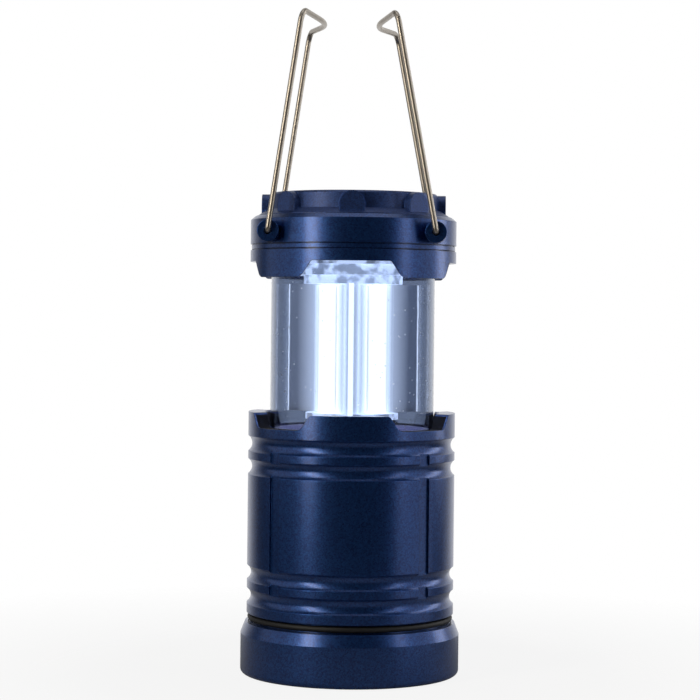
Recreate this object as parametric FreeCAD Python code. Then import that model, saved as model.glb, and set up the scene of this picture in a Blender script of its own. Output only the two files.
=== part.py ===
"""Pop-up camping lantern: a painted barrel, a clear lens that slides out of it
with a three-sided light column inside, a castellated cap and two wire bails.

Millimetres. The origin is the centre of the base's underside, +Z is up and the
front is -Y. The lantern is drawn pulled out, with both bails raised.
"""
import FreeCAD, Part
import math
import os
from FreeCAD import Vector

# Running and seating clearances
run_gap = 0.4
seat_gap = 0.1
stop_gap = 0.3

# Cells and tray: the barrel is built round these
cell_radius = 7.1
cell_length = 49.2
cell_nub_radius = 2.7
cell_nub_height = 1.0
cell_count = 3
cell_spacing = 0.5
plate_thickness = 0.4
spring_reach = 1.6
tray_plate = 2.0
tray_wall = 1.5
tray_lift = 1.8
tray_margin = 1.16

# Base cover and seal
base_step = 2.35
base_wall_height = 16.2
base_chamfer_height = 4.6
base_lip_step = 0.55
base_wall = 3.1
base_floor = 2.6
base_edge_radius = 2.0
seal_wire = 2.4
seal_side_gap = 0.65
seal_recess = 0.35
twist_angle = 30.0
bayonet_lugs = 3
lug_width = 7.0
lug_height = 2.5
lug_reach = 1.45
lug_level = 9.5

# Barrel
body_wall = 4.05
foot_ring_height = 3.7
groove_height = 6.2
groove_depth = 1.6
rib_height = 3.0
panel_height = 36.4
channel_width = 5.0
channel_depth = 0.9
rim_height = 9.6
rim_wall = 6.35
notch_depth = 6.0
notch_mouth_half = 16.3
notch_root_half = 12.3
notch_root_round = 3.6
notch_mouth_round = 1.5
spigot_length = 18.5
collar_height = 3.0
collar_drop = 3.4
guide_width = 6.0

# Lens and slide
slide_room = 4.6
lens_wall = 1.7
lens_flange_height = 3.0
lens_top_flange_reach = 1.2
lens_top_flange_height = 2.0
landing_gap = 3.5
closing_gap = 0.9

# Cap
cap_inset = 0.15
cap_wall = 3.6
skirt_wall = 2.3
skirt_ring_height = 4.55
skirt_web = 3.0
skirt_root_half = 15.5
skirt_mouth_half = 19.7
skirt_root_round = 0.8
skirt_mouth_round = 3.5
seam_height = 2.45
seam_depth = 0.45
seam_line_height = 0.35
seam_line_depth = 0.8
band_rise = 1.05
band_chamfer_height = 1.6
band_chamfer_width = 1.9
band_web = 2.2
shoulder_height = 2.45
shoulder_step = 2.9
shoulder_edge = 0.3
crown_ledge = 6.1
crown_setback = 1.4
crown_height = 6.85
crown_edge = 0.8
crown_wall = 2.0
crown_spigot_height = 3.6
crown_lugs = 8
crown_lug_width = 10.0
crown_lug_drop = 0.3
crown_lug_reach = 1.6

# Bails
bail_wire = 2.2
bail_pivot_inset = 8.8
bail_leg_inset = 5.5
bail_leg_length = 86.9
left_bail_lean = 8.4
right_bail_lean = 10.6
bail_kink = 9.1
bail_pin_length = 8.0
bail_foot_bend = 1.8
bail_top_bend = 5.0
bail_apex_bend = 55.0
boss_wall = 2.7
boss_margin = 0.3

# Light column
column_inradius = 10.2
column_wall = 1.8
column_drop = 2.1
column_sink = 0.2
fin_thickness = 2.0
cob_width = 24.0
cob_end_margin = 0.3
cob_thickness = 0.9
phosphor_width = 16.0
phosphor_end_margin = 0.4
phosphor_thickness = 0.6
foot_disc_radius = 18.7
foot_disc_height = 2.5
holder_low_radius = 20.0
holder_low_height = 3.4
holder_mid_radius = 26.0
holder_mid_height = 4.2
holder_wall = 1.8

# Carriage, contacts and board
carriage_floor = 2.4
carriage_rim_height = 13.0
carriage_rim_wall = 2.0
pedestal_radius = 16.4
pedestal_wall = 2.0
rail_angle = 30.0
rail_width = 5.0
rail_thickness = 0.5
wiper_width = 4.0
wiper_thickness = 0.4
wiper_drop = 1.8
lead_wire = 1.4
board_radius = 18.0
board_thickness = 1.6

# Screws
screw_shank_radius = 1.1
screw_head_radius = 2.0
screw_head_height = 1.6
tray_screw_bite = 6.0
cap_screw_bite = 2.4
screw_count = 4
quarter = 360.0 / screw_count

# Radii, from the cells outwards
cell_pitch = 2 * cell_radius + cell_spacing
pocket_half = (cell_length + cell_nub_height + spring_reach) / 2 + plate_thickness
tray_half_x = pocket_half + tray_wall
tray_half_y = (cell_count - 1) / 2 * cell_pitch + cell_radius + seat_gap + tray_wall
tray_radius = math.hypot(tray_half_x, tray_half_y) + tray_margin
bore_radius = tray_radius + seat_gap
body_radius = bore_radius + body_wall
base_radius = body_radius + base_step
base_lip_radius = body_radius + base_lip_step
base_bore_radius = base_radius - base_wall
spigot_radius = base_bore_radius - run_gap
lug_tip_radius = base_bore_radius - lug_reach
slot_floor_radius = lug_tip_radius - run_gap
seal_outer_radius = body_radius - seal_recess
seal_floor_radius = seal_outer_radius - seal_wire - seat_gap
rim_bore_radius = body_radius - rim_wall
lens_radius = bore_radius - slide_room
lens_bore_radius = lens_radius - lens_wall
collar_radius = lens_radius + run_gap + seat_gap
guide_radius = lens_radius + run_gap
flange_radius = bore_radius - run_gap
fin_radius = lens_bore_radius - run_gap
plug_radius = lens_bore_radius - seat_gap
cap_radius = body_radius - cap_inset
skirt_bore_radius = cap_radius - skirt_wall
cap_bore_radius = cap_radius - cap_wall
crown_seat_radius = cap_radius - crown_ledge
crown_radius = crown_seat_radius - crown_setback
bail_pivot_x = cap_radius - bail_pivot_inset
bail_leg_y = cap_radius - bail_leg_inset
boss_bore_radius = bail_wire / 2 + run_gap
boss_radius = boss_bore_radius + boss_wall
tray_screw_radius = tray_radius - screw_head_radius - seat_gap
cap_screw_radius = cap_bore_radius - screw_head_radius - seat_gap
column_corner_radius = column_inradius / math.cos(math.pi / 3)

# Levels, from the underside upwards
base_height = base_wall_height + base_chamfer_height
seal_gap_height = seal_wire + 2 * seal_side_gap
shell_level = base_height + seal_gap_height
low_groove_level = shell_level + foot_ring_height
low_rib_level = low_groove_level + groove_height
panel_groove_level = low_rib_level + rib_height
panel_level = panel_groove_level + groove_height
panel_top = panel_level + panel_height
high_rib_level = panel_top + groove_height
rim_groove_level = high_rib_level + rib_height
rim_level = rim_groove_level + groove_height
rim_top = rim_level + rim_height
notch_level = rim_top - notch_depth
collar_level = rim_level - collar_drop - collar_height
spigot_level = shell_level - spigot_length

tray_level = base_floor + tray_lift
cell_axis_level = tray_level + cell_radius
tray_plate_level = cell_axis_level + cell_radius + seat_gap
tray_top = tray_plate_level + tray_plate

lens_level = collar_level - stop_gap - lens_flange_height
slide_travel = lens_level - wiper_thickness - wiper_drop - landing_gap - tray_top
skirt_level = rim_top + slide_travel + closing_gap
skirt_tab_length = notch_depth + closing_gap - run_gap
skirt_bottom = skirt_level - skirt_tab_length
skirt_top = skirt_level + skirt_ring_height
seam_top = skirt_top + seam_height
pivot_level = seam_top + boss_radius + boss_margin
band_wall_top = pivot_level + boss_radius + band_rise
band_top = band_wall_top + band_chamfer_height
lens_top = skirt_top + lens_top_flange_height
web_top = lens_top + band_web
crown_level = band_top + shoulder_height
crown_top = crown_level + crown_height

column_level = rim_top - column_sink
column_top = skirt_bottom - column_drop
column_height = column_top - column_level
cob_length = column_height - 2 * cob_end_margin
phosphor_length = cob_length - 2 * phosphor_end_margin
foot_level = column_level - foot_disc_height

# How far cutters reach past a face, and where turned seams and the front lie
past = 4.0
front = -90.0
seam_angle = 11.0


def point(radius, level):
    return Vector(radius, 0, level)


def outline(start, *steps):
    """Closed outline in the XZ plane: a step of one point is a line, of two an arc."""
    edges = []
    here = point(*start)
    for step in steps + ((start,),):
        there = point(*step[-1])
        if len(step) == 2:
            edges.append(Part.Arc(here, point(*step[0]), there).toShape())
        elif there.distanceToPoint(here) > 1e-6:
            edges.append(Part.makeLine(here, there))
        here = there
    return Part.Face(Part.Wire(edges))


def swept(face, angle):
    return face.revolve(Vector(0, 0, 0), Vector(0, 0, 1), angle)


def turned(face):
    """Full turn whose seam lies away from the features at the quarters and thirds."""
    return swung(swept(face, 360.0), seam_angle)


def ring(inner, outer, bottom, top):
    return turned(outline((inner, bottom), ((outer, bottom),), ((outer, top),), ((inner, top),)))


def disc(radius, bottom, top):
    return Part.makeCylinder(radius, top - bottom, Vector(0, 0, bottom))


def bar(inner, outer, width, bottom, top):
    """Box that points along +X, centred on the XZ plane."""
    corner = Vector(inner, -width / 2, bottom)
    return Part.makeBox(outer - inner, width, top - bottom, corner)


def swung(shape, angle):
    copy = shape.copy()
    copy.rotate(Vector(0, 0, 0), Vector(0, 0, 1), angle)
    return copy


def around(shape, count, first=0.0):
    return [swung(shape, first + i * 360.0 / count) for i in range(count)]


def joined(shape, others):
    return shape.fuse(others).removeSplitter()


def castle_cutter(root_half, mouth_half, root_level, mouth_level, root_round, mouth_round):
    """Tapered gap between two castellations, cut along +X with rounded corners."""
    out = math.copysign(past, mouth_level - root_level)
    flare = mouth_half + past
    corners = [(-flare, mouth_level), (-mouth_half, mouth_level), (-root_half, root_level)]
    corners += [(-y, z) for y, z in reversed(corners)]
    corners += [(flare, mouth_level + out), (-flare, mouth_level + out)]
    points = [Vector(lens_bore_radius, y, z) for y, z in corners]
    prism = Part.Face(Part.makePolygon(points + points[:1])).extrude(Vector(base_radius, 0, 0))
    for half, level, radius in ((root_half, root_level, root_round), (mouth_half, mouth_level, mouth_round)):
        edges = [edge for edge in prism.Edges
                 if all(abs(abs(v.Y) - half) < 1e-4 and abs(v.Z - level) < 1e-4 for v in edge.Vertexes)]
        edges = [edge for edge in edges if abs(edge.tangentAt(edge.FirstParameter).x) > 0.9]
        prism = prism.makeFillet(radius, edges)
    return prism


def rod(points, bends, diameter):
    """Round wire: cylinders along straight runs, joined by tangent pieces of a ring."""
    radius = diameter / 2
    pieces = []
    here = points[0]
    for corner, after, bend in zip(points[1:-1], points[2:], bends):
        back = (here - corner).normalize()
        ahead = (after - corner).normalize()
        half = back.getAngle(ahead) / 2
        reach = bend / math.tan(half)
        first = corner + back * reach
        centre = corner + (back + ahead).normalize() * (bend / math.sin(half))
        section = Part.Face(Part.Wire(Part.makeCircle(radius, first, back)))
        pieces.append(Part.makeCylinder(radius, here.distanceToPoint(first), here, first - here))
        pieces.append(section.revolve(centre, ahead.cross(back), 180.0 - 2 * math.degrees(half)))
        here = corner + ahead * reach
    end = points[-1]
    pieces.append(Part.makeCylinder(radius, here.distanceToPoint(end), here, end - here))
    return pieces[0].fuse(pieces[1:])


def screw(radius, head_level, bite, side):
    """Pan-head screw on the +X side: the head lies on the given side (+1 up) of its seat."""
    head = Vector(radius, 0, head_level)
    shank = Part.makeCylinder(screw_shank_radius, bite, head, Vector(0, 0, -side))
    return shank.fuse(Part.makeCylinder(screw_head_radius, screw_head_height, head, Vector(0, 0, side)))


def screw_hole(radius, bottom, top):
    return Part.makeCylinder(screw_shank_radius + seat_gap, top - bottom, Vector(radius, 0, bottom))


def make_base_cover():
    cup = turned(outline(
        (0, 0),
        ((base_radius - base_edge_radius, 0),),
        ((base_radius - base_edge_radius * (1 - math.sqrt(0.5)), base_edge_radius * (1 - math.sqrt(0.5))),
         (base_radius, base_edge_radius)),
        ((base_radius, base_wall_height),),
        ((base_lip_radius, base_height),),
        ((base_bore_radius, base_height),),
        ((base_bore_radius, base_floor),),
        ((0, base_floor),)))
    lug = bar(lug_tip_radius, base_bore_radius + base_wall / 2, lug_width, lug_level, lug_level + lug_height)
    return joined(cup, around(lug, bayonet_lugs))


def bayonet_slot():
    """Room for one lug: along the twist and down to the open end of the spigot."""
    half = math.degrees(math.asin((lug_width / 2 + run_gap) / lug_tip_radius))
    low = lug_level - run_gap
    high = lug_level + lug_height + run_gap
    outer = base_bore_radius
    run = swept(outline((slot_floor_radius, low), ((outer, low),), ((outer, high),),
                        ((slot_floor_radius, high),)), twist_angle + 2 * half)
    entry = swept(outline((slot_floor_radius, spigot_level - past), ((outer, spigot_level - past),),
                          ((outer, high),), ((slot_floor_radius, high),)), 2 * half)
    return swung(run, -twist_angle - half).fuse(swung(entry, -twist_angle - half))


def groove(level):
    """Steps of the barrel's outline over one hollow groove, from its lower edge."""
    middle = (body_radius - groove_depth, level + groove_height / 2)
    return ((body_radius, level),), (middle, (body_radius, level + groove_height))


def make_body_shell():
    shell = turned(outline(
        (bore_radius, spigot_level),
        ((spigot_radius, spigot_level),),
        ((spigot_radius, base_height),),
        ((seal_floor_radius, base_height),),
        ((seal_floor_radius, shell_level),),
        ((body_radius, shell_level),),
        *groove(low_groove_level),
        *groove(panel_groove_level),
        *groove(panel_top),
        *groove(rim_groove_level),
        ((body_radius, rim_top),),
        ((rim_bore_radius, rim_top),),
        ((rim_bore_radius, collar_level + collar_height),),
        ((collar_radius, collar_level + collar_height),),
        ((collar_radius, collar_level),),
        ((bore_radius, collar_level),)))
    guide_root = (bore_radius + seal_floor_radius) / 2
    guide = bar(guide_radius, guide_root, guide_width, tray_top, collar_level)
    shell = shell.fuse(around(guide, screw_count))
    channel_floor = body_radius - channel_depth
    channel = bar(channel_floor, body_radius + past, channel_width,
                  low_groove_level + groove_height / 2, rim_groove_level + groove_height / 2)
    notch = castle_cutter(notch_root_half, notch_mouth_half, notch_level, rim_top,
                          notch_root_round, notch_mouth_round)
    pilot = screw_hole(tray_screw_radius, tray_top, tray_top + tray_screw_bite)
    rail_bed = bar(guide_radius, bore_radius + rail_thickness, rail_width + 2 * seat_gap,
                   tray_top, lens_level)
    shell = shell.cut(around(channel, screw_count, quarter / 2))
    shell = shell.cut(around(notch, screw_count, quarter / 2))
    shell = shell.cut(around(pilot, screw_count))
    shell = shell.cut(around(bayonet_slot(), bayonet_lugs))
    return shell.cut(around(rail_bed, 2, rail_angle))


def make_o_ring():
    centre = Vector(0, 0, base_height + seal_gap_height / 2)
    return Part.makeTorus(seal_outer_radius - seal_wire / 2, seal_wire / 2, centre)


def cell_row(i):
    return (i - (cell_count - 1) / 2) * cell_pitch


def cell_side(i):
    """Neighbouring cells point opposite ways: +1 has its nub towards +X."""
    return 1 if i % 2 == 0 else -1


def make_cell(i):
    side = cell_side(i)
    along = Vector(side, 0, 0)
    span = cell_length + cell_nub_height + spring_reach
    tail = Vector(side * (spring_reach - span / 2), cell_row(i), cell_axis_level)
    can = Part.makeCylinder(cell_radius, cell_length, tail, along)
    nub = Part.makeCylinder(cell_nub_radius, cell_nub_height, tail + along * cell_length, along)
    return can.fuse(nub)


def contact(first, last, side):
    """Plate at one end of the pocket over the given cells, with a sprung tongue at each flat end."""
    low = cell_row(first) - cell_radius + plate_thickness
    high = cell_row(last) + cell_radius - plate_thickness
    face_x = pocket_half - plate_thickness
    height = cell_radius
    bottom = cell_axis_level - height / 2
    plate = Part.makeBox(plate_thickness, high - low, height, Vector(face_x, low, bottom))
    tongues = []
    for i in range(first, last + 1):
        if cell_side(i) != side:
            root = Vector(face_x - spring_reach, cell_row(i) - height / 2, cell_axis_level - cell_nub_radius)
            corners = [root + Vector(spring_reach, 0, 0), root, root + Vector(0, 0, plate_thickness),
                       root + Vector(spring_reach, 0, 2 * cell_nub_radius)]
            tongue = Part.Face(Part.makePolygon(corners + corners[:1]))
            tongues.append(tongue.extrude(Vector(0, height, 0)))
    if tongues:
        plate = joined(plate, tongues)
    if side < 0:
        plate = plate.mirror(Vector(0, 0, 0), Vector(1, 0, 0))
    return plate


def make_battery_tray():
    plate = disc(tray_radius, tray_plate_level, tray_top)
    depth = tray_plate_level - tray_level
    frame = Part.makeBox(2 * tray_half_x, 2 * tray_half_y, depth,
                         Vector(-tray_half_x, -tray_half_y, tray_level))
    block = joined(plate, [frame])
    pocket_side = tray_half_y - tray_wall
    pocket = Part.makeBox(2 * pocket_half, 2 * pocket_side, depth,
                          Vector(-pocket_half, -pocket_side, tray_level))
    tray = block.cut(pocket)
    divider_height = cell_radius
    for i in range(cell_count - 1):
        row = (cell_row(i) + cell_row(i + 1)) / 2
        wall = Part.makeBox(2 * pocket_half - 4 * spring_reach, cell_pitch, divider_height,
                            Vector(2 * spring_reach - pocket_half, row - cell_pitch / 2,
                                   tray_plate_level - divider_height))
        for side in (0, 1):
            axis = Vector(-pocket_half, cell_row(i + side), cell_axis_level)
            wall = wall.cut(Part.makeCylinder(cell_radius + seat_gap, 2 * pocket_half, axis, Vector(1, 0, 0)))
        tray = tray.fuse([solid for solid in wall.Solids if abs(solid.CenterOfMass.y - row) < tray_wall])
    holes = around(screw_hole(tray_screw_radius, tray_plate_level, tray_top), screw_count)
    return tray.cut(holes).removeSplitter()


def make_tray_screws():
    one = screw(tray_screw_radius, tray_plate_level, tray_plate + tray_screw_bite - seat_gap, -1)
    return Part.makeCompound(around(one, screw_count))


def make_contact_rail(angle):
    """Strip in the barrel's wall with a foot that turns in over the tray."""
    outer = bore_radius + rail_thickness - seat_gap
    strip = bar(bore_radius - seat_gap, outer, rail_width, tray_top, lens_level - seat_gap)
    strip = strip.fuse(bar(guide_radius, outer, rail_width, tray_top, tray_top + rail_thickness))
    return swung(strip.removeSplitter(), angle)


def make_lens():
    tube = turned(outline(
        (lens_bore_radius, lens_level),
        ((flange_radius, lens_level),),
        ((flange_radius, lens_level + lens_flange_height),),
        ((lens_radius, lens_level + lens_flange_height),),
        ((lens_radius, skirt_top),),
        ((lens_radius + lens_top_flange_reach, skirt_top),),
        ((lens_radius + lens_top_flange_reach, lens_top),),
        ((lens_bore_radius, lens_top),)))
    notch = bar(lens_radius, flange_radius + past, guide_width + 2 * run_gap,
                lens_level - past, lens_level + lens_flange_height + past)
    return tube.cut(around(notch, screw_count))


def make_carriage():
    floor_top = lens_level + carriage_floor
    plug = turned(outline(
        (pedestal_radius - pedestal_wall, lens_level),
        ((plug_radius, lens_level),),
        ((plug_radius, lens_level + carriage_rim_height),),
        ((plug_radius - carriage_rim_wall, lens_level + carriage_rim_height),),
        ((plug_radius - carriage_rim_wall, floor_top),),
        ((pedestal_radius, floor_top),),
        ((pedestal_radius, foot_level),),
        ((pedestal_radius - pedestal_wall, foot_level),)))
    return plug


def make_wiper(angle):
    """Strip under the carriage that reaches out to its rail and turns down along it."""
    tip = bore_radius - stop_gap
    inner = pedestal_radius - pedestal_wall - wiper_width
    strip = bar(inner, tip, wiper_width, lens_level - wiper_thickness, lens_level)
    heel = bar(tip - wiper_thickness, tip, wiper_width, lens_level - wiper_thickness - wiper_drop, lens_level)
    return swung(strip.fuse(heel).removeSplitter(), angle)


def make_lead(angle):
    """Insulated wire from the wiper's inner end up the hollow column to the board."""
    foot = pedestal_radius - pedestal_wall - wiper_width / 2
    rise = column_inradius - column_wall - lead_wire
    bend = lead_wire * 2
    middle = (lens_level + foot_level) / 2
    points = [point(foot, lens_level), point(foot, middle), point(rise, middle + (foot - rise)),
              point(rise, web_top)]
    return swung(rod(points, (bend, bend), lead_wire), angle)


def make_reflector():
    corner = Part.Vertex(column_corner_radius, 0, column_level)
    corners = [vertex.Point for vertex in around(corner, 3, front)]
    core = Part.Face(Part.makePolygon(corners + corners[:1])).extrude(Vector(0, 0, column_height))
    fin = bar(column_inradius, fin_radius, fin_thickness, column_level, column_top)
    column = joined(core, around(fin, 3, front))
    share = (column_inradius - column_wall) / column_inradius
    inner = [Vector(corner.x * share, corner.y * share, corner.z) for corner in corners]
    hollow = Part.Face(Part.makePolygon(inner + inner[:1])).extrude(Vector(0, 0, column_height))
    return column.cut(hollow)


def face_angle(i):
    return front + 60.0 + 120.0 * i


def make_cob_board(i):
    bottom = column_level + (column_height - cob_length) / 2
    board = bar(column_inradius, column_inradius + cob_thickness, cob_width, bottom, bottom + cob_length)
    return swung(board, face_angle(i))


def make_cob_phosphor(i):
    seat = column_inradius + cob_thickness
    bottom = column_level + (column_height - phosphor_length) / 2
    strip = bar(seat, seat + phosphor_thickness, phosphor_width, bottom, bottom + phosphor_length)
    return swung(strip, face_angle(i))


def make_column_foot():
    return ring(column_inradius - column_wall, foot_disc_radius, foot_level, column_level)


def make_column_holder():
    """Stepped cup that widens from the column up to the web of the band."""
    inner = column_inradius - column_wall
    step = column_top + holder_low_height
    shelf = step + holder_mid_height
    return turned(outline(
        (inner, column_top),
        ((holder_low_radius, column_top),),
        ((holder_low_radius, step),),
        ((holder_mid_radius, step),),
        ((holder_mid_radius, shelf),),
        ((plug_radius, shelf),),
        ((plug_radius, lens_top),),
        ((plug_radius - holder_wall, lens_top),),
        ((plug_radius - holder_wall, shelf + holder_wall),),
        ((holder_mid_radius - holder_wall, shelf + holder_wall),),
        ((holder_mid_radius - holder_wall, step + holder_wall),),
        ((holder_low_radius - holder_wall, step + holder_wall),),
        ((holder_low_radius - holder_wall, column_top + holder_wall),),
        ((inner, column_top + holder_wall),)))


def make_driver_board():
    board = ring(column_inradius, board_radius, web_top, web_top + board_thickness)
    chip = bar(column_inradius + board_thickness, board_radius - board_thickness, board_thickness * 3,
               web_top + board_thickness, web_top + 2 * board_thickness)
    return joined(board, around(chip, 3))


def make_cap_skirt():
    skirt = turned(outline(
        (skirt_bore_radius, skirt_bottom),
        ((cap_radius, skirt_bottom),),
        ((cap_radius, skirt_top),),
        ((lens_radius + seat_gap, skirt_top),),
        ((lens_radius + seat_gap, skirt_top - skirt_web),),
        ((skirt_bore_radius, skirt_top - skirt_web),)))
    gap = castle_cutter(skirt_root_half, skirt_mouth_half, skirt_level, skirt_bottom,
                        skirt_root_round, skirt_mouth_round)
    cuts = around(gap, screw_count)
    pilot = screw_hole(cap_screw_radius, skirt_top - cap_screw_bite, skirt_top)
    return skirt.cut(cuts + around(pilot, screw_count, quarter / 2))


def make_cap_band():
    strip_radius = cap_radius - seam_depth
    line_radius = strip_radius - seam_line_depth
    band = turned(outline(
        (cap_bore_radius, skirt_top),
        ((line_radius, skirt_top),),
        ((line_radius, skirt_top + seam_line_height),),
        ((strip_radius, skirt_top + seam_line_height),),
        ((strip_radius, seam_top - seam_line_height),),
        ((line_radius, seam_top - seam_line_height),),
        ((line_radius, seam_top),),
        ((cap_radius, seam_top),),
        ((cap_radius, band_wall_top),),
        ((cap_radius - band_chamfer_width, band_top),),
        ((cap_bore_radius, band_top),),
        ((cap_bore_radius, web_top),),
        ((column_inradius, web_top),),
        ((column_inradius, lens_top),),
        ((cap_bore_radius, lens_top),)))
    face_y = bail_leg_y - bail_wire / 2 - stop_gap
    core = disc(cap_bore_radius, web_top, band_top)
    for x in (-bail_pivot_x, bail_pivot_x):
        end = Vector(x, -face_y, pivot_level)
        boss = Part.makeCylinder(boss_radius, 2 * face_y, end, Vector(0, 1, 0)).cut(core)
        band = joined(band, boss.Solids)
        for side in (-1, 1):
            face = Vector(x, side * face_y, pivot_level)
            band = band.cut(Part.makeCylinder(boss_bore_radius, bail_pin_length, face, Vector(0, -side, 0)))
    return band.cut(around(screw_hole(cap_screw_radius, lens_top, web_top), screw_count, quarter / 2))


def make_cap_screws():
    one = screw(cap_screw_radius, web_top, web_top - skirt_top + cap_screw_bite - seat_gap, 1)
    return Part.makeCompound(around(one, screw_count, quarter / 2))


def make_crown_cover():
    shoulder_radius = cap_radius - shoulder_step
    spigot = cap_bore_radius - seat_gap
    inner = spigot - crown_wall
    hollow = crown_radius - crown_wall
    cover = turned(outline(
        (0, crown_top - crown_wall),
        ((hollow, crown_top - crown_wall),),
        ((hollow, crown_level - crown_wall),),
        ((inner, band_top),),
        ((inner, band_top - crown_spigot_height),),
        ((spigot, band_top - crown_spigot_height),),
        ((spigot, band_top),),
        ((shoulder_radius, band_top),),
        ((shoulder_radius, band_top + shoulder_edge),),
        ((crown_seat_radius, crown_level),),
        ((crown_radius, crown_level),),
        ((crown_radius, crown_top - crown_edge),),
        ((crown_radius - crown_edge, crown_top),),
        ((0, crown_top),)))
    radius = crown_lug_width / 2
    lug_bottom = band_top + shoulder_edge
    arch_level = crown_top - crown_lug_drop - radius
    inside = crown_radius - crown_wall / 2
    outside = crown_seat_radius + crown_lug_reach
    lug = bar(inside, outside, crown_lug_width, lug_bottom, arch_level)
    centre = Vector(inside, 0, arch_level)
    arch = Part.makeCylinder(radius, outside - inside, centre, Vector(1, 0, 0))
    lug = joined(lug, [arch])
    return cover.fuse(around(lug, crown_lugs))


def make_bail(side, lean_angle):
    """U of wire over one half of the cap; its top is kinked in towards the middle."""
    lean = math.radians(lean_angle)
    up = Vector(-side * math.sin(lean), 0, math.cos(lean))
    inward = Vector(-side * math.cos(lean), 0, -math.sin(lean))
    pivot = Vector(side * bail_pivot_x, 0, pivot_level)
    across = Vector(0, bail_leg_y, 0)
    pin_end = Vector(0, bail_leg_y - bail_wire / 2 - bail_pin_length, 0)
    top = pivot + up * bail_leg_length
    points = [pivot - pin_end, pivot - across, top - across, top + inward * bail_kink, top + across,
              pivot + across, pivot + pin_end]
    bends = (bail_foot_bend, bail_top_bend, bail_apex_bend, bail_top_bend, bail_foot_bend)
    return rod(points, bends, bail_wire)


nodes = {
    "base_cover": make_base_cover(),
    "o_ring": make_o_ring(),
    "body_shell": make_body_shell(),
    "battery_tray": make_battery_tray(),
    "tray_screws": make_tray_screws(),
    "link_plate_right": contact(0, 1, 1),
    "link_plate_left": contact(1, 2, -1),
    "terminal_positive": contact(2, 2, 1),
    "terminal_negative": contact(0, 0, -1),
    "contact_rail_positive": make_contact_rail(rail_angle),
    "contact_rail_negative": make_contact_rail(rail_angle + 180.0),
    "lens": make_lens(),
    "carriage": make_carriage(),
    "wiper_positive": make_wiper(rail_angle),
    "wiper_negative": make_wiper(rail_angle + 180.0),
    "lead_positive": make_lead(rail_angle),
    "lead_negative": make_lead(rail_angle + 180.0),
    "reflector": make_reflector(),
    "column_foot": make_column_foot(),
    "column_holder": make_column_holder(),
    "driver_board": make_driver_board(),
    "cap_skirt": make_cap_skirt(),
    "cap_band": make_cap_band(),
    "cap_screws": make_cap_screws(),
    "crown_cover": make_crown_cover(),
    "left_bail": make_bail(-1, left_bail_lean),
    "right_bail": make_bail(1, right_bail_lean),
}
for i in range(cell_count):
    nodes["cell_%d" % (i + 1)] = make_cell(i)
for i in range(3):
    nodes["cob_board_%d" % (i + 1)] = make_cob_board(i)
    nodes["cob_phosphor_%d" % (i + 1)] = make_cob_phosphor(i)

os.makedirs("parts", exist_ok=True)
for name, shape in nodes.items():
    print(name, "valid" if shape.isValid() else "INVALID", len(shape.Solids), round(shape.Volume, 1))
    shape.exportStep("parts/%s.step" % name)
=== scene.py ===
# %% [markdown]
# # A pop-up camping lantern, lit, in a small studio
# The lantern arrives as an assembly of rigid pieces that already have their real size and
# place. What is left for Blender is what the eye reads as material: metallic paint, clear
# plastic, bent wire, mirror plating and light. This file goes through them one by one.

# %% Load the lantern's pieces
import math

import bpy
from mathutils import Matrix, Vector

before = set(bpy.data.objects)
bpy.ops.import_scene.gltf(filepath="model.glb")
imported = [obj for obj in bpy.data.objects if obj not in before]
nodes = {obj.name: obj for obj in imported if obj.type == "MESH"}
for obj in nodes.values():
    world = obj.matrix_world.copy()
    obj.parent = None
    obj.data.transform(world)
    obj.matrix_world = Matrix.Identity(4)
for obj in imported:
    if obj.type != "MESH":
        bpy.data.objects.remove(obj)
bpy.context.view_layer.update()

# %% [markdown]
# ## Small helpers
# Colours are given in sRGB, but shaders add and multiply light, so one function
# turns a hex colour into linear values. A second adds a node, sets it up and links it: a
# material then reads from top to bottom like a recipe. Patterns are sized in millimetres.
# The lantern stands on the Z axis, so the distance from that axis tells the inside of a
# piece from its outside, and several finishes use it.

# %% Helpers for colour, scale and nodes
MM = 0.001
MIX_FACTOR, MIX_A, MIX_B, MIX_RESULT = 0, 6, 7, 2


def linear(hex_colour):
    """sRGB hex colour as linear RGBA."""
    values = [int(hex_colour[i:i + 2], 16) / 255 for i in (1, 3, 5)]
    return [v / 12.92 if v <= 0.04045 else ((v + 0.055) / 1.055) ** 2.4 for v in values] + [1.0]


def per_metre(size_mm):
    """Texture scale at which one cell of a pattern measures size_mm."""
    return 1.0 / (size_mm * MM)


def add(tree, kind, inputs=None, **settings):
    """Adds a node; an input that is a socket is linked, any other value is set."""
    node = tree.nodes.new(kind)
    for name, value in settings.items():
        setattr(node, name, value)
    for socket, value in (inputs or {}).items():
        if isinstance(value, bpy.types.NodeSocket):
            tree.links.new(value, node.inputs[socket])
        else:
            node.inputs[socket].default_value = value
    return node


print("a 2 mm pattern has scale", per_metre(2))


# %% Helpers for whole materials
def start_material(name):
    """An empty material: its node tree, and the piece's own coordinates in metres."""
    material = bpy.data.materials.new(name)
    material.use_nodes = True
    tree = material.node_tree
    tree.nodes.clear()
    place = add(tree, "ShaderNodeTexCoord").outputs["Object"]
    return material, tree, place


def axis_distance(tree, place):
    """Distance of the shaded point from the lantern's upright axis."""
    across = add(tree, "ShaderNodeVectorMath", {0: place, 1: (1, 1, 0)}, operation="MULTIPLY")
    return add(tree, "ShaderNodeVectorMath", {0: across.outputs[0]}, operation="LENGTH").outputs["Value"]


def close_material(tree, shader):
    """Sends the finished shader to the surface."""
    add(tree, "ShaderNodeOutputMaterial", {"Surface": shader.outputs[0]})


def dress(material, *pieces):
    """Gives these CAD pieces one finish."""
    for piece in pieces:
        nodes[piece].data.materials[0] = material


print("material helpers ready")
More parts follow.
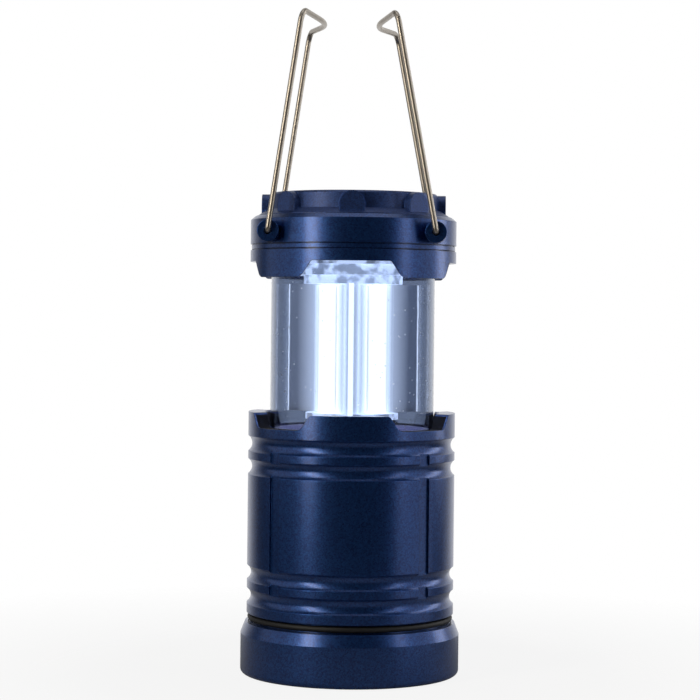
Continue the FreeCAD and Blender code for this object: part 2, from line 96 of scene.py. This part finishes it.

# %% [markdown]
# ## Metallic paint
# The cap, barrel and base are moulded ABS under a sprayed metallic lacquer. Tiny aluminium
# flakes lie in a navy binder under clear varnish, so highlights are blue and broad with a pale
# core, faces that look into the dark front of the room go almost black, and edges turn grey.
# Principled with a high metallic value and a coat does this, and a cell pattern makes the
# flakes sparkle. Real flakes are about 0.05 mm, too fine for one pixel, so they are drawn at
# 0.5 mm. Moulded edges are never sharp, and lacquer fills them further: a Bevel node rounds
# the shading along each edge, by about half a millimetre on the satin parts and more on the
# matt crown, so edges catch a thin line of light.
#
# The inner faces of the barrel's rim are made darker: a mask by height and distance from the
# axis gives them a dark colour and full roughness, and takes the flakes and the varnish away.

# %% Where the rim is darkened
RIM_DEPTH = 7.0 * MM
RIM_EDGE_INSET = 0.8 * MM
barrel_radius = max(abs(corner[0]) for corner in nodes["body_shell"].bound_box)
rim_top = max(corner[2] for corner in nodes["body_shell"].bound_box)


def darkened_rim_mask(tree, place):
    """1 on the darkened inner faces of the barrel's rim, 0 elsewhere."""
    inside = add(tree, "ShaderNodeMath", {0: axis_distance(tree, place), 1: barrel_radius - RIM_EDGE_INSET},
                 operation="LESS_THAN")
    height = add(tree, "ShaderNodeSeparateXYZ", {"Vector": place}).outputs["Z"]
    rim = add(tree, "ShaderNodeMath", {0: height, 1: rim_top - RIM_DEPTH / 2, 2: RIM_DEPTH / 2 - RIM_EDGE_INSET},
              operation="COMPARE")
    darkened = add(tree, "ShaderNodeMath", {0: inside.outputs[0], 1: rim.outputs[0]}, operation="MULTIPLY")
    return darkened.outputs[0]


print("rim top mm:", round(rim_top / MM, 1), "barrel radius mm:", round(barrel_radius / MM, 1))

# %% Metallic paint
FLAKE_MM = 0.5
FLAKE_DEPTH_MM = 0.05
FLAKE_BUMP = 0.4
SPRAY_MOTTLE_MM = 6.0
SPRAY_UNEVENNESS = 0.03
METAL_FLAKE_SHARE = 0.75
VARNISH = 0.5
VARNISH_SMOOTHER = 0.1
EDGE_SAMPLES = 8
DARK_RIM_FACES = "#0b1226"


def navy_lacquer(name, deep, bright, roughness, edge_mm, darken_rim=False):
    """Sprayed metallic lacquer on moulded ABS: blue sheen with a fine sparkle."""
    material, tree, place = start_material(name)
    flakes = add(tree, "ShaderNodeTexVoronoi", {"Vector": place, "Scale": per_metre(FLAKE_MM)})
    mottle = add(tree, "ShaderNodeTexNoise", {"Vector": place, "Scale": per_metre(SPRAY_MOTTLE_MM)})
    colour = add(tree, "ShaderNodeMix", {
        MIX_FACTOR: flakes.outputs["Color"], MIX_A: linear(deep), MIX_B: linear(bright)},
        data_type="RGBA").outputs[MIX_RESULT]
    rough = add(tree, "ShaderNodeMapRange", {
        "Value": mottle.outputs["Fac"], "To Min": roughness - SPRAY_UNEVENNESS,
        "To Max": roughness + SPRAY_UNEVENNESS}).outputs[0]
    metal_share = METAL_FLAKE_SHARE
    varnish = VARNISH
    if darken_rim:
        # inner faces of the rim are darkened: dark colour, full roughness, no flakes and no varnish
        darkened = darkened_rim_mask(tree, place)
        colour = add(tree, "ShaderNodeMix", {
            MIX_FACTOR: darkened, MIX_A: colour, MIX_B: linear(DARK_RIM_FACES)},
            data_type="RGBA").outputs[MIX_RESULT]
        rough = add(tree, "ShaderNodeMath", {0: rough, 1: darkened}, operation="MAXIMUM").outputs[0]
        metal_share = add(tree, "ShaderNodeMapRange", {
            "Value": darkened, "To Min": METAL_FLAKE_SHARE, "To Max": 0.0}).outputs[0]
        varnish = add(tree, "ShaderNodeMapRange", {
            "Value": darkened, "To Min": VARNISH, "To Max": 0.0}).outputs[0]
    soft_edge = add(tree, "ShaderNodeBevel", {"Radius": edge_mm * MM}, samples=EDGE_SAMPLES)
    grain = add(tree, "ShaderNodeBump", {
        "Height": flakes.outputs["Distance"], "Strength": FLAKE_BUMP,
        "Distance": FLAKE_DEPTH_MM * MM, "Normal": soft_edge.outputs[0]})
    paint = add(tree, "ShaderNodeBsdfPrincipled", {
        "Base Color": colour, "Metallic": metal_share, "Roughness": rough, "Normal": grain.outputs[0],
        "Coat Weight": varnish, "Coat Roughness": roughness - VARNISH_SMOOTHER})
    close_material(tree, paint)
    return material


# each finish: colour between flakes, colour of flakes, roughness, rounding of edges in mm
SATIN = ("#08225b", "#1d4a8b", 0.32, 0.45)
MATT = ("#0f2659", "#224482", 0.5, 0.8)
dress(navy_lacquer("metallic_lacquer_satin", *SATIN), "cap_skirt", "cap_band", "base_cover")
dress(navy_lacquer("metallic_lacquer_rim", *SATIN, darken_rim=True), "body_shell")
dress(navy_lacquer("metallic_lacquer_matt", *MATT), "crown_cover")
print("painted: barrel, cap and base")

# %% [markdown]
# ## Clear plastic
# The lens is a moulded polystyrene tube. Light bends in its walls, so its edges show bright
# and dark lines, and dust and tiny bubbles from the mould catch the light. A transmissive
# Principled with the plastic's index of refraction gives the lines; a sparse cell pattern
# roughens the specks. The wall is thickest to the eye at the tube's sides, where it looks
# grey-blue, so an absorbing volume colours it by the length of the light's way. The tube
# casts no shadow, so lamps reach the column inside it.

# %% Clear plastic
SPECK_SPACING_MM = 4.0
SPECK_RADIUS = 0.07  # as a share of the spacing
SPECK_FADE = 1.5
SPECK_ROUGHNESS = 0.6
CLEAR_ROUGHNESS = 0.02
FLOW_LINE_MM = 9.0
FLOW_DEPTH_MM = 0.2
FLOW_BUMP = 0.1
POLYSTYRENE_IOR = 1.57
LENS_ABSORPTION = 160.0


def clear_polystyrene():
    """Clear moulded polystyrene: sharp refraction, a grey-blue cast, a few specks."""
    material, tree, place = start_material("clear_polystyrene_moulded")
    specks = add(tree, "ShaderNodeTexVoronoi", {"Vector": place, "Scale": per_metre(SPECK_SPACING_MM)})
    rough = add(tree, "ShaderNodeMapRange", {
        "Value": specks.outputs["Distance"], "From Min": SPECK_RADIUS, "From Max": SPECK_RADIUS * SPECK_FADE,
        "To Min": SPECK_ROUGHNESS, "To Max": CLEAR_ROUGHNESS})
    flow = add(tree, "ShaderNodeTexNoise", {"Vector": place, "Scale": per_metre(FLOW_LINE_MM)})
    ripple = add(tree, "ShaderNodeBump", {
        "Height": flow.outputs["Fac"], "Strength": FLOW_BUMP, "Distance": FLOW_DEPTH_MM * MM})
    plastic = add(tree, "ShaderNodeBsdfPrincipled", {
        "Base Color": linear("#b1bbcc"), "Transmission Weight": 1.0, "IOR": POLYSTYRENE_IOR,
        "Roughness": rough.outputs[0], "Normal": ripple.outputs[0]})
    tint = add(tree, "ShaderNodeVolumeAbsorption", {"Color": linear("#7f92b4"), "Density": LENS_ABSORPTION})
    add(tree, "ShaderNodeOutputMaterial", {"Surface": plastic.outputs[0], "Volume": tint.outputs[0]})
    return material


dress(clear_polystyrene(), "lens")
nodes["lens"].visible_shadow = False
print("lens wall is clear")

# %% [markdown]
# ## Mirror plating
# The three-finned column is ABS with a thin vacuum-deposited aluminium layer. It mirrors the
# room and the light panels softly, slightly wavy from moulding. The outer edge of each fin
# carries a painted highlight: the material glows as a bright line by distance from the axis.
# A weaker painted glow, standing in for light that leaks sideways out of the gel, brightens
# the roots of the fins and fades outwards.

# %% Mirror plating
PLATING_WAVE_MM = 5.0
PLATING_DEPTH_MM = 0.3
PLATING_BUMP = 0.15
FIN_PAINTED_EDGE = 0.8 * MM
FIN_EDGE_PAINTED_GLOW = 3.0
PAINTED_SPILL_GLOW = 1.3
ROOT_START, ROOT_END = 0.5, 0.85  # as shares of the fins' radius
fin_radius = max(abs(corner[1]) for corner in nodes["reflector"].bound_box)


def vacuum_aluminium():
    """Vacuum-metallised ABS: a soft, slightly wavy mirror, with a painted glow on the fin edges and roots."""
    material, tree, place = start_material("vacuum_metallised_abs_painted_glow")
    wave = add(tree, "ShaderNodeTexNoise", {"Vector": place, "Scale": per_metre(PLATING_WAVE_MM)})
    rough = add(tree, "ShaderNodeMapRange", {"Value": wave.outputs["Fac"], "To Min": 0.3, "To Max": 0.38})
    ripple = add(tree, "ShaderNodeBump", {
        "Height": wave.outputs["Fac"], "Strength": PLATING_BUMP, "Distance": PLATING_DEPTH_MM * MM})
    # painted light: emission makes the fin edges a bright line and the fin roots a weaker glow
    radius = axis_distance(tree, place)
    edge = add(tree, "ShaderNodeMapRange", {
        "Value": radius, "From Min": fin_radius - FIN_PAINTED_EDGE, "From Max": fin_radius, "To Max": FIN_EDGE_PAINTED_GLOW})
    root = add(tree, "ShaderNodeMapRange", {
        "Value": radius, "From Min": fin_radius * ROOT_START, "From Max": fin_radius * ROOT_END,
        "To Min": PAINTED_SPILL_GLOW, "To Max": 0.0})
    glow = add(tree, "ShaderNodeMath", {0: edge.outputs[0], 1: root.outputs[0]}, operation="MAXIMUM")
    metal = add(tree, "ShaderNodeBsdfPrincipled", {
        "Base Color": linear("#c3cbd9"), "Metallic": 1.0, "Roughness": rough.outputs[0],
        "Normal": ripple.outputs[0], "Emission Color": linear("#f2f7ff"),
        "Emission Strength": glow.outputs[0]})
    close_material(tree, metal)
    return material


dress(vacuum_aluminium(), "reflector")
print("fins reach mm:", round(fin_radius / MM, 1))

# %% [markdown]
# ## Light panels
# Each panel is a white board with a block of phosphor gel that glows when lit. The gel's glow
# drops over its last millimetre, where the block is thin. The white margin of the board gets
# a painted glow, standing in for light that leaks out of the gel, fading towards its outer edge.

# %% Light panels
PHOSPHOR_GRAIN_MM = 1.2
GEL_EDGE = 1.0 * MM
GEL_GLOW = 3.2
GEL_EDGE_GLOW = 1.2
MASK_PAINTED_GLOW = 2.4
gel_radius = max(math.hypot(v.co.x, v.co.y) for v in nodes["cob_phosphor_1"].data.vertices)
board_radius = max(math.hypot(v.co.x, v.co.y) for v in nodes["cob_board_1"].data.vertices)


def lit_phosphor():
    """Phosphor gel over blue diodes, switched on: even cold white light."""
    material, tree, place = start_material("phosphor_gel_lit")
    grain = add(tree, "ShaderNodeTexNoise", {"Vector": place, "Scale": per_metre(PHOSPHOR_GRAIN_MM)})
    colour = add(tree, "ShaderNodeMix", {
        MIX_FACTOR: grain.outputs["Fac"], MIX_A: linear("#e8f1ff"), MIX_B: linear("#ffffff")},
        data_type="RGBA")
    edge = add(tree, "ShaderNodeMapRange", {
        "Value": axis_distance(tree, place), "From Min": gel_radius - GEL_EDGE, "From Max": gel_radius,
        "To Min": GEL_GLOW, "To Max": GEL_EDGE_GLOW})
    gel = add(tree, "ShaderNodeBsdfPrincipled", {
        "Base Color": linear("#f1e7b8"), "Roughness": 0.5, "Emission Color": colour.outputs[MIX_RESULT],
        "Emission Strength": edge.outputs[0]})
    close_material(tree, gel)
    return material


def white_solder_mask_painted_glow():
    """White solder mask on an aluminium-core board: matte, faintly speckled, with a painted glow near the
    gel.
    """
    material, tree, place = start_material("white_solder_mask_painted_glow")
    grain = add(tree, "ShaderNodeTexNoise", {"Vector": place, "Scale": per_metre(PHOSPHOR_GRAIN_MM)})
    colour = add(tree, "ShaderNodeMix", {
        MIX_FACTOR: grain.outputs["Fac"], MIX_A: linear("#dfe3e6"), MIX_B: linear("#f2f4f5")},
        data_type="RGBA")
    # painted glow on the board's white margin, standing in for light leaking from the gel
    spill = add(tree, "ShaderNodeMapRange", {
        "Value": axis_distance(tree, place), "From Min": gel_radius, "From Max": board_radius,
        "To Min": MASK_PAINTED_GLOW, "To Max": PAINTED_SPILL_GLOW})
    mask = add(tree, "ShaderNodeBsdfPrincipled", {
        "Base Color": colour.outputs[MIX_RESULT], "Roughness": 0.45,
        "Emission Color": linear("#e6f0fa"), "Emission Strength": spill.outputs[0]})
    close_material(tree, mask)
    return material


dress(lit_phosphor(), "cob_phosphor_1", "cob_phosphor_2", "cob_phosphor_3")
dress(white_solder_mask_painted_glow(), "cob_board_1", "cob_board_2", "cob_board_3")
print("panels lit, gel reaches mm:", round(gel_radius / MM, 1))

# %% [markdown]
# ## White plastic with painted glare
# The stepped holder above the panels and the disc under them are white ABS in full glare.
# They look patchy, because steps and wires throw shade between the bright places. These
# patches are painted light and shade: a noise switches the emission between a weak and a strong glow.

# %% White plastic with painted glare
PAINTED_GLARE_PATCH_MM = 5.0
PATCH_START, PATCH_END = 0.4, 0.56
PAINTED_SHADE_GLOW, PAINTED_GLARE_GLOW = 0.35, 1.9


def painted_glare_abs():
    """White moulded ABS close to the light panels: painted glare in patches between painted shade."""
    material, tree, place = start_material("white_abs_painted_glare_and_shade")
    patches = add(tree, "ShaderNodeTexNoise", {"Vector": place, "Scale": per_metre(PAINTED_GLARE_PATCH_MM)})
    # painted light and shade: emission switches between weak and strong patches
    glare = add(tree, "ShaderNodeMapRange", {
        "Value": patches.outputs["Fac"], "From Min": PATCH_START, "From Max": PATCH_END,
        "To Min": PAINTED_SHADE_GLOW, "To Max": PAINTED_GLARE_GLOW})
    plastic = add(tree, "ShaderNodeBsdfPrincipled", {
        "Base Color": linear("#dde4ec"), "Roughness": 0.3, "Emission Color": linear("#dfeaff"),
        "Emission Strength": glare.outputs[0]})
    close_material(tree, plastic)
    return material


dress(painted_glare_abs(), "column_holder", "column_foot")
print("holder and foot disc in the glare")

# %% [markdown]
# ## Bent wire
# The bails are drawn stainless wire, polished, so a round bar shows the room as long light and
# dark streaks, and the metal is a little warm. A smooth metallic Principled gives the streaks.
# A slow noise varies its shade along the wire, as uneven polishing does; anything finer would
# look like rope, because the wire is only five pixels wide.

# %% Bent wire
WIRE_SHADE_MM = 12.0


def drawn_stainless():
    """Drawn and polished stainless wire: bright, warm grey, long soft streaks."""
    material, tree, place = start_material("drawn_stainless_wire")
    shade = add(tree, "ShaderNodeTexNoise", {
        "Vector": place, "Scale": per_metre(WIRE_SHADE_MM), "Detail": 1.0})
    rough = add(tree, "ShaderNodeMapRange", {"Value": shade.outputs["Fac"], "To Min": 0.34, "To Max": 0.4})
    colour = add(tree, "ShaderNodeMix", {
        MIX_FACTOR: shade.outputs["Fac"], MIX_A: linear("#a9a196"), MIX_B: linear("#b9b1a6")},
        data_type="RGBA")
    wire = add(tree, "ShaderNodeBsdfPrincipled", {
        "Base Color": colour.outputs[MIX_RESULT], "Metallic": 1.0, "Roughness": rough.outputs[0]})
    close_material(tree, wire)
    return material


dress(drawn_stainless(), "left_bail", "right_bail")
print("bails are wire")

# %% [markdown]
# ## Rubber and moulded plastics
# The seal is moulded nitrile rubber. The tray, carriage, wire sleeves, circuit board and cell
# jackets are plain plastics that differ in colour and gloss, so one recipe with a mottle and
# a fine moulded grain makes them all. The carriage is white ABS; its violet colour is painted
# light, standing in for the cold light that reaches it only through the foot of the lens.

# %% Rubber and plastics
PLASTIC_UNEVENNESS = 0.06
PLASTIC_BUMP = 0.1
PLASTIC_DEPTH_MM = 0.1
GRAIN_DETAIL = 4.0


def moulded_plastic(name, dark, light, roughness, grain_mm):
    """Moulded polymer: even colour with a faint mottle and a fine grain."""
    material, tree, place = start_material(name)
    grain = add(tree, "ShaderNodeTexNoise", {
        "Vector": place, "Scale": per_metre(grain_mm), "Detail": GRAIN_DETAIL})
    colour = add(tree, "ShaderNodeMix", {
        MIX_FACTOR: grain.outputs["Fac"], MIX_A: linear(dark), MIX_B: linear(light)}, data_type="RGBA")
    rough = add(tree, "ShaderNodeMapRange", {
        "Value": grain.outputs["Fac"], "To Min": roughness - PLASTIC_UNEVENNESS,
        "To Max": roughness + PLASTIC_UNEVENNESS})
    bump = add(tree, "ShaderNodeBump", {
        "Height": grain.outputs["Fac"], "Strength": PLASTIC_BUMP, "Distance": PLASTIC_DEPTH_MM * MM})
    plastic = add(tree, "ShaderNodeBsdfPrincipled", {
        "Base Color": colour.outputs[MIX_RESULT], "Roughness": rough.outputs[0], "Normal": bump.outputs[0]})
    close_material(tree, plastic)
    return material


# name, darker and lighter colour, roughness, size of the grain in mm, pieces
PLASTICS = (
    ("nitrile_rubber_moulded", "#020203", "#060607", 0.6, 1.0, ["o_ring"]),
    # the carriage's violet colour is painted light: white ABS lit only through the lens foot
    ("white_abs_painted_violet_light", "#bdb9dd", "#cbc8e6", 0.35, 1.0, ["carriage"]),
    ("black_abs_moulded", "#121214", "#1d1d20", 0.5, 0.8, ["battery_tray"]),
    ("red_pvc_sleeve", "#8c1513", "#a81e1a", 0.45, 0.8, ["lead_positive"]),
    ("black_pvc_sleeve", "#141415", "#202022", 0.45, 0.8, ["lead_negative"]),
    ("green_solder_mask", "#14502c", "#1f6a3b", 0.4, 1.5, ["driver_board"]),
    ("cell_shrink_sleeve", "#2a2d33", "#3a3e46", 0.3, 2.0, ["cell_1", "cell_2", "cell_3"]),
)
for *recipe, pieces in PLASTICS:
    dress(moulded_plastic(*recipe), *pieces)
print("plastics:", len(PLASTICS))

# %% [markdown]
# ## Plated and sprung metal inside
# Screws are zinc-plated steel, and the contacts are rolled brass. Both are plain metals with
# an uneven, handled surface.

# %% Small metal pieces
METAL_UNEVENNESS = 0.08


def handled_metal(name, dark, light, roughness, grain_mm):
    """Rolled or plated metal: uneven brightness from rolling and handling."""
    material, tree, place = start_material(name)
    grain = add(tree, "ShaderNodeTexNoise", {
        "Vector": place, "Scale": per_metre(grain_mm), "Detail": GRAIN_DETAIL})
    colour = add(tree, "ShaderNodeMix", {
        MIX_FACTOR: grain.outputs["Fac"], MIX_A: linear(dark), MIX_B: linear(light)}, data_type="RGBA")
    rough = add(tree, "ShaderNodeMapRange", {
        "Value": grain.outputs["Fac"], "To Min": roughness - METAL_UNEVENNESS,
        "To Max": roughness + METAL_UNEVENNESS})
    metal = add(tree, "ShaderNodeBsdfPrincipled", {
        "Base Color": colour.outputs[MIX_RESULT], "Metallic": 1.0, "Roughness": rough.outputs[0]})
    close_material(tree, metal)
    return material


contacts = [piece for piece in nodes if piece.startswith(("link_plate", "terminal", "contact_rail", "wiper"))]
dress(handled_metal("zinc_plated_steel", "#9ea3a8", "#c4c8cb", 0.35, 1.0), "tray_screws", "cap_screws")
dress(handled_metal("rolled_spring_brass", "#b08d4a", "#d2b06a", 0.3, 1.5), *contacts)
print("brass contacts:", len(contacts))

# %% [markdown]
# ## Camera
# A product photograph is taken from far away with a long lens, so the lantern's sides stay
# nearly parallel. The camera stands a little to one side and a little rolled, as a hand-placed
# one does. It looks level, and the frame is shifted down instead, so uprights stay upright.

# %% Camera at the photograph's viewing angle
SHOT_WIDTH = 282.8 * MM
CAMERA_DISTANCE = 0.88
CAMERA_HEIGHT = 0.144
CAMERA_TURN = math.radians(1.2)
CAMERA_ROLL = math.radians(0.6)
SENSOR_WIDTH = 36.0
SHIFT_X, SHIFT_Y = -0.004, -0.0495


def studio_place(turn, distance, height):
    """Point at a turn from the camera's side, counted to the right."""
    angle = CAMERA_TURN + turn
    return Vector((distance * math.sin(angle), -distance * math.cos(angle), height))


camera_data = bpy.data.cameras.new("studio_camera")
camera_data.sensor_width = SENSOR_WIDTH
camera_data.lens = SENSOR_WIDTH * CAMERA_DISTANCE / SHOT_WIDTH
camera_data.shift_x = SHIFT_X
camera_data.shift_y = SHIFT_Y
camera = bpy.data.objects.new("studio_camera", camera_data)
bpy.context.scene.collection.objects.link(camera)
camera.matrix_world = (Matrix.Translation(studio_place(0, CAMERA_DISTANCE, CAMERA_HEIGHT))
                       @ Matrix.Rotation(CAMERA_TURN, 4, "Z")
                       @ Matrix.Rotation(math.pi / 2, 4, "X")
                       @ Matrix.Rotation(CAMERA_ROLL, 4, "Z"))
bpy.context.scene.camera = camera
print("lens mm:", round(camera_data.lens, 1))

# %% [markdown]
# ## Lamps
# A product shot of dark metallic paint is made by what it mirrors. Two tall strips left and
# right of the camera draw the two upright highlights, the left one brighter and a little
# warmer. Wide, weak soft boxes further round lift the paint beside them, a third strip lights
# the right edge, and a soft top light fills the cap and the floor. The clear lens would mirror
# the strips as hard white bars, so light linking leaves it out of what the lamps reach.

# %% Lamps
LAMP_TOP = 0.86
LAMP_DISTANCE = 0.65
TOP_LIGHT_SIZE = 0.9
TOP_LIGHT_PLACE = Vector((0, 0.1, 1.3))
TOP_LIGHT_AIM = Vector((0, 0, 0.1))
# name, turn from the camera in degrees, width and lower edge in metres, brightness, tint
LAMPS = (
    ("left_strip", -46, 0.15, 0.06, 8.0, "#fff6e6"),
    ("right_strip", 58, 0.12, 0.06, 2.0, "#ffffff"),
    ("left_softbox", -85, 0.6, 0.06, 0.5, "#ffffff"),
    ("right_softbox", 74, 0.6, -0.2, 0.6, "#ffffff"),
    ("side_strip", 112, 0.2, 0.06, 3.0, "#ffffff"),
)
all_but_lens = bpy.data.collections.new("all_but_lens")
all_but_lens.objects.link(nodes["lens"])
all_but_lens.collection_objects[0].light_linking.link_state = "EXCLUDE"


def soft_lamp(name, place, aim, width, height, brightness, tint):
    """Rectangular soft lamp of an even brightness, facing a point."""
    data = bpy.data.lights.new(name, "AREA")
    data.shape = "RECTANGLE"
    data.size = width
    data.size_y = height
    data.energy = brightness * math.pi * width * height
    data.color = linear(tint)[:3]
    lamp = bpy.data.objects.new(name, data)
    bpy.context.scene.collection.objects.link(lamp)
    lamp.location = place
    lamp.rotation_euler = (aim - place).to_track_quat("-Z", "Y").to_euler()
    lamp.light_linking.receiver_collection = all_but_lens


for name, turn, width, bottom, brightness, tint in LAMPS:
    middle = (LAMP_TOP + bottom) / 2
    stand = studio_place(math.radians(turn), LAMP_DISTANCE, middle)
    soft_lamp(name, stand, Vector((0, 0, middle)), width, LAMP_TOP - bottom, brightness, tint)
soft_lamp("top_light", TOP_LIGHT_PLACE, TOP_LIGHT_AIM, TOP_LIGHT_SIZE, TOP_LIGHT_SIZE, 1.0, "#ffffff")
print("lamps:", len(LAMPS) + 1)

# %% [markdown]
# ## Wall and floor
# A white wall behind the lantern turns the edges of the paint grey, and the room in front is
# dark. The world paints the wall by direction; rays from the camera and rays that pass through
# the lens see white all round. The floor is pale paper. It takes the lantern's shadow, but the
# camera sees it bleached almost to white, as an exposure for a dark object does. It fades out
# before its edge and is clear from below, so the lantern can be looked at from there.

# %% Wall of the room
WALL_START, WALL_FULL = 0.5, 1.0  # how far a direction points to the back
DARK_ROOM = 0.03
world = bpy.data.worlds.new("studio_room")
bpy.context.scene.world = world
world.use_nodes = True
room = world.node_tree
room.nodes.clear()
direction = add(room, "ShaderNodeTexCoord").outputs["Generated"]
backwards = add(room, "ShaderNodeSeparateXYZ", {"Vector": direction}).outputs["Y"]
wall = add(room, "ShaderNodeMapRange", {
    "Value": backwards, "From Min": WALL_START, "From Max": WALL_FULL, "To Min": DARK_ROOM, "To Max": 1.0},
    interpolation_type="SMOOTHSTEP")
rays = add(room, "ShaderNodeLightPath")
seen = add(room, "ShaderNodeMath", {
    0: rays.outputs["Is Camera Ray"], 1: rays.outputs["Is Transmission Ray"]}, operation="MAXIMUM")
level = add(room, "ShaderNodeMath", {0: wall.outputs[0], 1: seen.outputs[0]}, operation="MAXIMUM")
backdrop = add(room, "ShaderNodeBackground", {"Color": linear("#ffffff"), "Strength": level.outputs[0]})
add(room, "ShaderNodeOutputWorld", {"Surface": backdrop.outputs[0]})
print("wall in place")

# %% Floor
FLOOR_RADIUS = 0.3
FLOOR_SIDES = 96
FLOOR_DROP = 0.2 * MM
FADE_START = 0.1
FADE_END = FLOOR_RADIUS * 0.95
FLOOR_BLEACH = 0.88
bpy.ops.mesh.primitive_circle_add(vertices=FLOOR_SIDES, radius=FLOOR_RADIUS, fill_type="NGON")
floor = bpy.context.object
floor.name = "pale_floor"
floor.location.z = -FLOOR_DROP
pale, tree, place = start_material("pale_paper_floor")
radius = add(tree, "ShaderNodeVectorMath", {0: place}, operation="LENGTH")
spread = add(tree, "ShaderNodeMapRange", {
    "Value": radius.outputs["Value"], "From Min": FADE_START, "From Max": FADE_END})
underside = add(tree, "ShaderNodeNewGeometry").outputs["Backfacing"]
fade = add(tree, "ShaderNodeMath", {0: spread.outputs[0], 1: underside}, operation="MAXIMUM")
paper = add(tree, "ShaderNodeBsdfDiffuse", {"Color": linear("#b4b4b4")})
white = add(tree, "ShaderNodeEmission", {"Color": linear("#ffffff")})
looked_at = add(tree, "ShaderNodeLightPath").outputs["Is Camera Ray"]
bleach = add(tree, "ShaderNodeMath", {0: looked_at, 1: FLOOR_BLEACH}, operation="MULTIPLY")
sheet = add(tree, "ShaderNodeMixShader", {0: bleach.outputs[0], 1: paper.outputs[0], 2: white.outputs[0]})
clear = add(tree, "ShaderNodeBsdfTransparent")
sweep = add(tree, "ShaderNodeMixShader", {0: fade.outputs[0], 1: sheet.outputs[0], 2: clear.outputs[0]})
close_material(tree, sweep)
floor.data.materials.append(pale)
print("floor in place")

# %% [markdown]
# ## Picture settings
# The Standard view shows colours as they are written.

# %% Picture settings
bpy.context.scene.view_settings.view_transform = "Standard"
